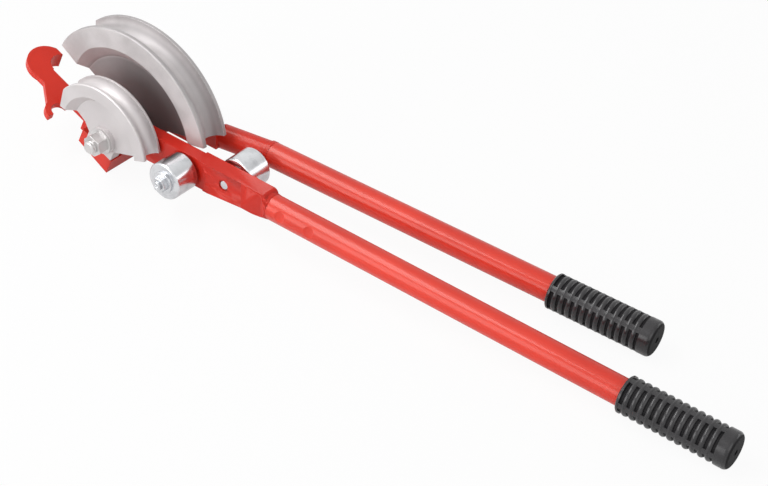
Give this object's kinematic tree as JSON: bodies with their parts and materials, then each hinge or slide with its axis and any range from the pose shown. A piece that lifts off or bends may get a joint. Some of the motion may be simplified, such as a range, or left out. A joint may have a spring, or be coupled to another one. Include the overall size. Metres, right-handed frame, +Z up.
{
  "type": "tube bender",
  "caption": "Hand tube bender with long handles: a roller arm swings round grooved formers and wraps a tube into the groove, held by a hooked stop.",
  "frame": {"origin": "middle of the tool on the bench it lies on, at bench level", "axes": "+X along the handles towards the grips, +Y along the pivot from the small former to the large one, +Z up"},
  "size_m": [0.7364, 0.1324, 0.1337],
  "materials": {
    "red_paint": "gloss paint",
    "cast_aluminium": "blasted casting",
    "zinc_steel": "bright zinc",
    "bronze": "plain bearing",
    "nylon": "plain",
    "black_rubber": "moulded"
  },
  "bodies": {
    "frame": {"stop_plate": "red_paint", "handle_cheek": "red_paint", "small_former": "cast_aluminium", "large_former": "cast_aluminium", "plate_screws": "zinc_steel", "pivot_bolt": "zinc_steel", "pivot_bush": "bronze", "pivot_nut": "zinc_steel", "pivot_washer_near": "zinc_steel", "pivot_washer_far": "zinc_steel", "thrust_washer_near": "nylon", "thrust_washer_far": "nylon", "fixed_handle_tube": "red_paint", "fixed_handle_grip": "black_rubber"},
    "roller_arm": {"roller_arm": "red_paint", "arm_handle_tube": "red_paint", "arm_handle_grip": "black_rubber", "small_roller_axle": "zinc_steel", "small_roller_spacer": "zinc_steel", "small_roller_washer": "zinc_steel", "small_roller_nut": "zinc_steel", "large_roller_axle": "zinc_steel", "large_roller_spacer": "zinc_steel", "large_roller_washer": "zinc_steel"},
    "small_roller": {"small_roller": "zinc_steel", "small_roller_bush": "bronze"},
    "large_roller": {"large_roller": "zinc_steel", "large_roller_bush": "bronze"}
  },
  "joints": [
    {"name": "arm_pivot", "type": "hinge", "parent": "frame", "child": "roller_arm", "pos_m": [-0.24786, -0.0242, 0.03898], "axis": [0, -1, 0], "range_deg": [0, 150]},
    {"name": "small_roller_spin", "type": "hinge", "parent": "roller_arm", "child": "small_roller", "pos_m": [-0.16515, -0.0447, 0.03624], "axis": [0, 1, 0], "continuous": true},
    {"name": "large_roller_spin", "type": "hinge", "parent": "roller_arm", "child": "large_roller", "pos_m": [-0.12041, -0.0017, 0.03822], "axis": [0, 1, 0], "continuous": true}
  ]
}
